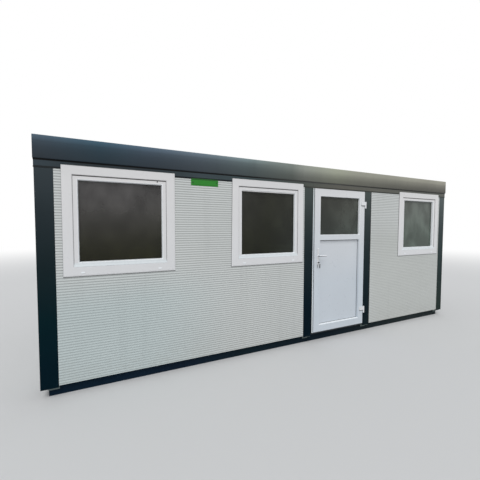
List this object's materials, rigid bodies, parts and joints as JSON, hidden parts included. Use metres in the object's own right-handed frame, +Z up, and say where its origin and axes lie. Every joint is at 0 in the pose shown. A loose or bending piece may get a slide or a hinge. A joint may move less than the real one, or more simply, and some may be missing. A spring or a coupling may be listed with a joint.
{
  "type": "site cabin",
  "caption": "Portable site cabin: a long flat-roofed box with ribbed sandwich walls, dark folded posts and eaves, square windows in front and a half-glazed outward-opening door.",
  "frame": {"origin": "middle of the cabin's length and width, on the ground plane under the centre floor joist", "axes": "+X along the cabin's length, from the window end towards the end right of the door; +Y from the front with the door to the back; +Z up"},
  "size_m": [6.072, 2.53, 2.391],
  "materials": {
    "base_steel": "satin navy-black paint",
    "floor_board": "phenolic-faced plywood",
    "galvanised": "hot-dip galvanised",
    "post_cover": "satin navy-black coated sheet",
    "wall_panel": "satin light grey coated sheet with fine ribs",
    "eaves_steel": "satin anthracite paint",
    "fascia_steel": "satin slate grey coated sheet",
    "ceiling": "white coated sheet",
    "white_plastic": "white window plastic",
    "dark_glass": "clear double glazing, dark inside",
    "threshold_metal": "navy-black painted aluminium",
    "marker_green": "plain green plate"
  },
  "bodies": {
    "cabin": {"base_rail_front": "base_steel", "base_rail_back": "base_steel", "base_rails_end": "base_steel", "floor_joists": "base_steel", "floor_deck": "floor_board", "foot_brackets": "galvanised", "frame_posts": "galvanised", "corner_cover_front_left": "post_cover", "corner_cover_front_right": "post_cover", "corner_cover_back_right": "post_cover", "corner_cover_back_left": "post_cover", "door_post_covers": "post_cover", "front_wall_left": "wall_panel", "front_wall_right": "wall_panel", "door_lintel": "wall_panel", "back_wall": "wall_panel", "left_wall": "wall_panel", "right_wall": "wall_panel", "top_rail_front": "eaves_steel", "top_rail_back": "eaves_steel", "top_rails_end": "eaves_steel", "fascia_front": "fascia_steel", "fascia_back": "fascia_steel", "fascia_ends": "fascia_steel", "ceiling_panel": "ceiling", "roof_sheet": "galvanised", "window_frame_1": "white_plastic", "window_frame_2": "white_plastic", "window_frame_3": "white_plastic", "window_sash_1": "white_plastic", "window_sash_2": "white_plastic", "window_sash_3": "white_plastic", "window_glass": "dark_glass", "window_drain_caps": "white_plastic", "door_frame": "white_plastic", "door_threshold": "threshold_metal", "door_hinge_brackets": "white_plastic", "marker_plate": "marker_green"},
    "door": {"door_leaf": "white_plastic", "door_glass": "dark_glass", "door_infill": "white_plastic", "door_plates": "white_plastic", "door_hinge_flaps": "white_plastic"},
    "lever": {"door_lever": "white_plastic"}
  },
  "joints": [
    {"name": "door_hinge", "type": "hinge", "parent": "cabin", "child": "door", "pos_m": [1.035, -1.241, 1.16], "axis": [0, 0, 1], "range_deg": [0, 110]},
    {"name": "door_lever_turn", "type": "hinge", "parent": "door", "child": "lever", "pos_m": [0.144, -1.21, 1.194], "axis": [0, 1, 0], "range_deg": [0, 40], "stiffness_Nm_per_rad": 0.8, "springref_deg": -17.19}
  ]
}
